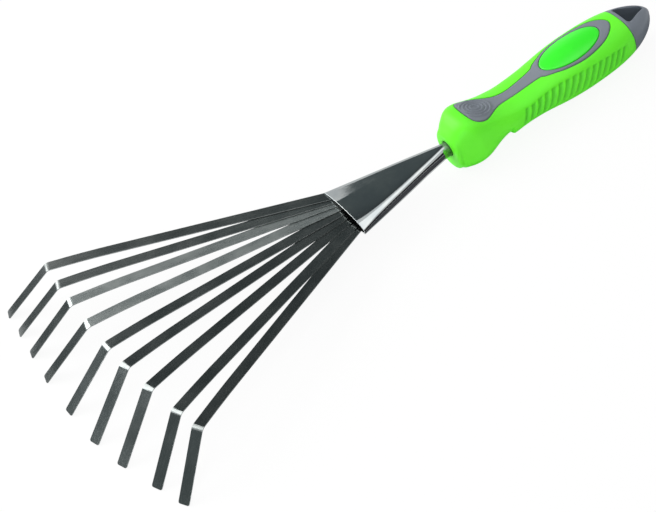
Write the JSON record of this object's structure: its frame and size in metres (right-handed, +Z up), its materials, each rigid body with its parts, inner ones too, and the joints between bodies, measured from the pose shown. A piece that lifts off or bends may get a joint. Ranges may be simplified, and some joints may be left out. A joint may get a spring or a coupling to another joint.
{
  "type": "hand fan rake",
  "caption": "Hand fan rake: bent spring steel tines stacked and fanned in a pressed steel socket, on a moulded two-colour handle with a hanging hole.",
  "frame": {"origin": "middle of the footprint on the floor, with the rake lying on the ends of its tines and the underside of its handle", "axes": "+X along the handle towards its butt, +Y towards the side of tine_1, +Z up from the floor; the rake leans 2.9 degrees about X, as it lies"},
  "size_m": [0.3644, 0.1712, 0.0302],
  "materials": {
    "spring_steel": "rolled strip, satin",
    "plain_steel": "plain drawn steel",
    "polished_steel": "polished sheet steel",
    "green_grip": "satin moulded lime green",
    "grey_moulding": "satin moulded grey",
    "grey_inlay": "soft grey, matt",
    "green_plate": "glossy bright green, bare"
  },
  "bodies": {
    "root": {"tine_1": "spring_steel", "tine_2": "spring_steel", "tine_3": "spring_steel", "tine_4": "spring_steel", "tine_5": "spring_steel", "tine_6": "spring_steel", "tine_7": "spring_steel", "tine_8": "spring_steel", "tine_9": "spring_steel", "root_rivet": "plain_steel", "socket": "polished_steel", "tang": "plain_steel", "grip_sleeve": "green_grip", "handle_core": "grey_moulding", "top_inlay": "grey_inlay", "name_plate": "green_plate"}
  },
  "joints": []
}
